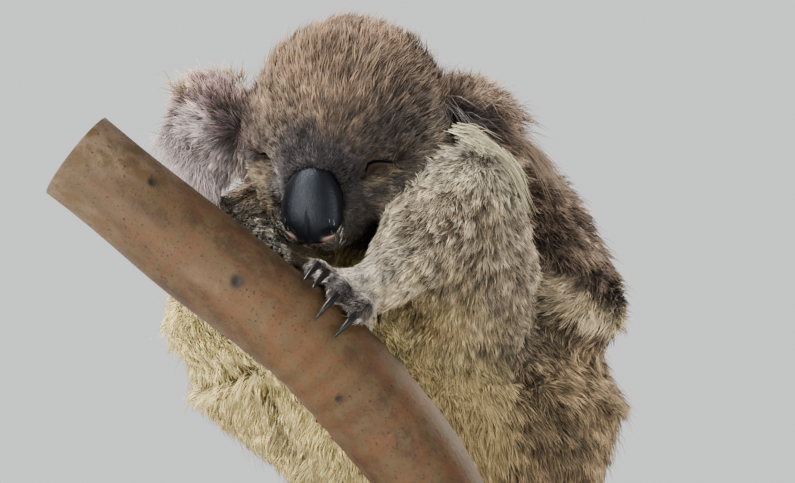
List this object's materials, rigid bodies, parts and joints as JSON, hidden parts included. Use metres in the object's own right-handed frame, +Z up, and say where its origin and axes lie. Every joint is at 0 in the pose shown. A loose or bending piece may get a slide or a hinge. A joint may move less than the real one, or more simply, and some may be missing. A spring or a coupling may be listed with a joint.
{
  "type": "life-size animal model",
  "caption": "Sleeping koala curled up with a foot over a cut length of branch, head bowed and eyes closed, on a plain display stand.",
  "frame": {"origin": "middle of the stand's underside", "axes": "+Z up, -Y the way the koala faces, +X its own left side"},
  "size_m": [0.3831, 0.3103, 0.3948],
  "materials": {
    "coat": "dense woolly fur, mottled grey-brown with cream below",
    "paw_coat": "short pale fur over dark grey skin",
    "nose_leather": "bare, finely pebbled, nearly black",
    "eyelid_skin": "thin dark skin, eyes closed",
    "claw_horn": "dark polished horn",
    "bark": "smooth gum bark with small knots, sawn ends",
    "stand_wood": "dark oiled wood",
    "stand_steel": "plain rod"
  },
  "bodies": {
    "root": {"arm_left_fore": "coat", "arm_left_upper": "coat", "arm_right_fore": "coat", "arm_right_upper": "coat", "ear_left": "coat", "ear_right": "coat", "head": "coat", "leg_left_shank": "coat", "leg_left_thigh": "coat", "leg_right_shank": "coat", "leg_right_thigh": "coat", "neck": "coat", "trunk": "coat", "foot_left": "paw_coat", "foot_right": "paw_coat", "hand_left": "paw_coat", "hand_right": "paw_coat", "nose": "nose_leather", "eyelid_left": "eyelid_skin", "eyelid_right": "eyelid_skin", "claw_foot_left_fifth": "claw_horn", "claw_foot_left_fourth": "claw_horn", "claw_foot_left_second": "claw_horn", "claw_foot_left_third": "claw_horn", "claw_foot_right_fifth": "claw_horn", "claw_foot_right_fourth": "claw_horn", "claw_foot_right_second": "claw_horn", "claw_foot_right_third": "claw_horn", "claw_hand_left_fifth": "claw_horn", "claw_hand_left_first": "claw_horn", "claw_hand_left_fourth": "claw_horn", "claw_hand_left_second": "claw_horn", "claw_hand_left_third": "claw_horn", "claw_hand_right_fifth": "claw_horn", "claw_hand_right_first": "claw_horn", "claw_hand_right_fourth": "claw_horn", "claw_hand_right_second": "claw_horn", "claw_hand_right_third": "claw_horn", "perch_branch": "bark", "stand_base": "stand_wood", "stand_rod_body": "stand_steel", "stand_rod_perch": "stand_steel"}
  },
  "joints": []
}
